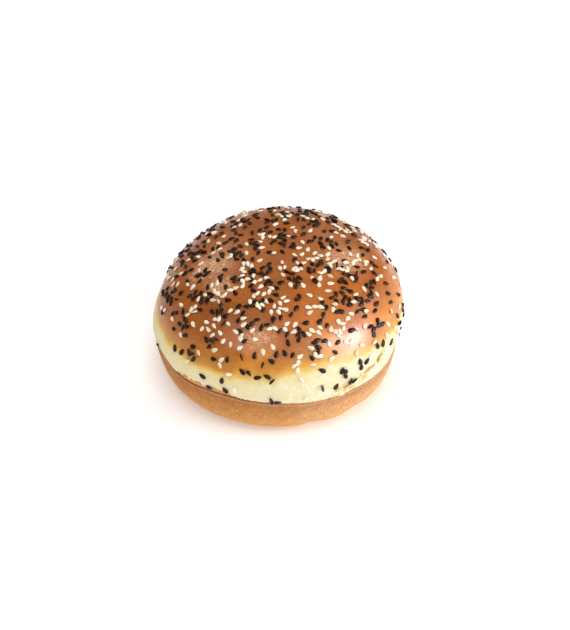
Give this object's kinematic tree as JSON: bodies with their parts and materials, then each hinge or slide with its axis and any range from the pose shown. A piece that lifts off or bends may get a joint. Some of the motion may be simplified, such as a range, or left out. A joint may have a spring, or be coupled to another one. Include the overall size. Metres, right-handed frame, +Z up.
{
  "type": "bread roll",
  "caption": "Round burger bun with a glazed brown crown, pale soft belt, tan tin-baked base crust and black and white sesame seeds.",
  "frame": {"origin": "middle of the roll's footprint, on the flat underside that it rests on", "axes": "+Z up through the crown, -Y towards the front of the roll, +X to the right seen from the front"},
  "size_m": [0.1145, 0.1112, 0.0633],
  "materials": {
    "crust": "satin",
    "white_sesame": "satin",
    "black_sesame": "satin"
  },
  "bodies": {
    "root": {"bread_roll": "crust"}
  },
  "joints": []
}
